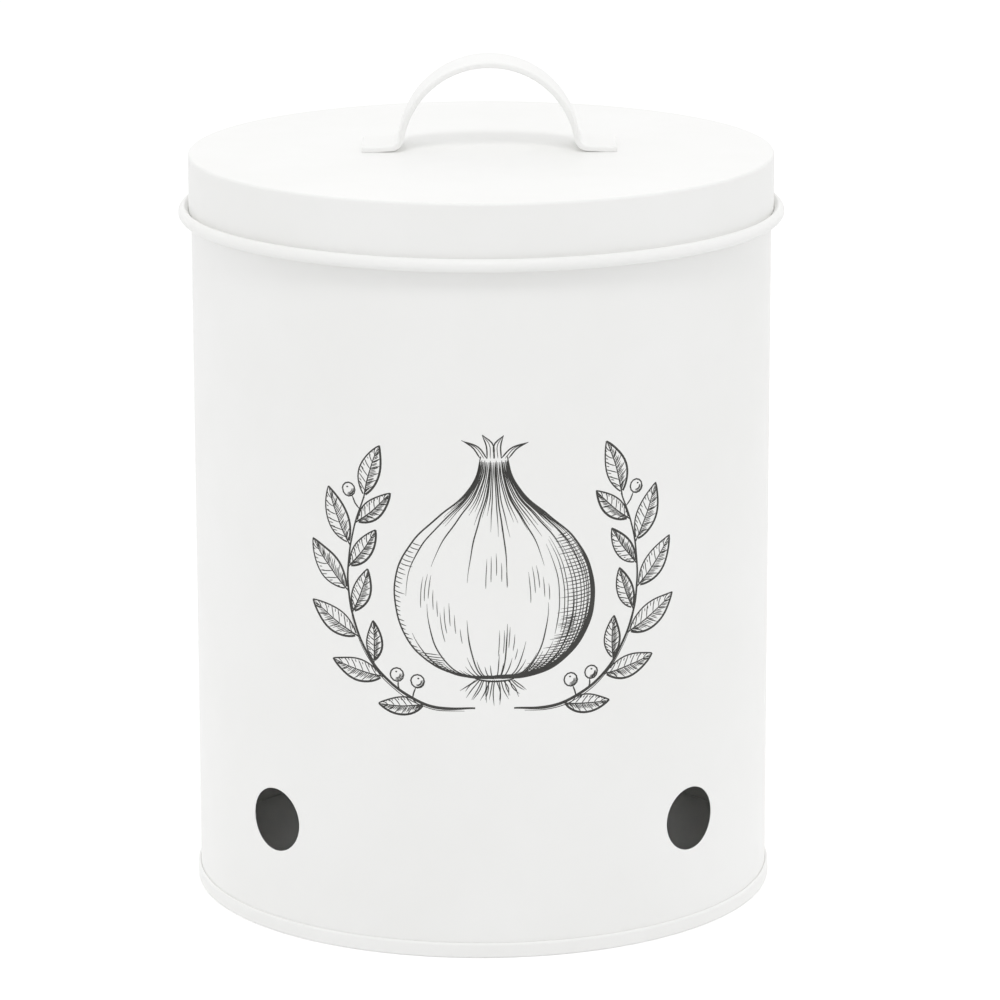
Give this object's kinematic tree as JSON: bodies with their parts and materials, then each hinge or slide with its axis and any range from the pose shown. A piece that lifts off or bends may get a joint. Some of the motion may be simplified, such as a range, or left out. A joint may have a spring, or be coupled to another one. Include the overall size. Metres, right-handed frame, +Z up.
{
  "type": "potato storage bin",
  "caption": "Round sheet-steel storage bin with a slip-over lid, a strap handle on the lid and round air vents low in the wall.",
  "frame": {"origin": "centre of the bin's base, on the surface that it stands on", "axes": "+Z up along the bin's axis, -Y towards the front, +X to the right; the wall's lock seam is at +Y"},
  "size_m": [0.209, 0.209, 0.2895],
  "materials": {
    "wall_coating": "satin",
    "base_coating": "satin",
    "lid_coating": "satin",
    "handle_coating": "satin"
  },
  "bodies": {
    "bin": {"body_wall": "wall_coating", "base_panel": "base_coating"},
    "lid": {"lid_shell": "lid_coating", "lid_handle": "handle_coating"}
  },
  "joints": [
    {"name": "lid_lift", "type": "slide", "parent": "bin", "child": "lid", "axis": [0, 0, 1], "range_m": [0, 0.08]}
  ]
}
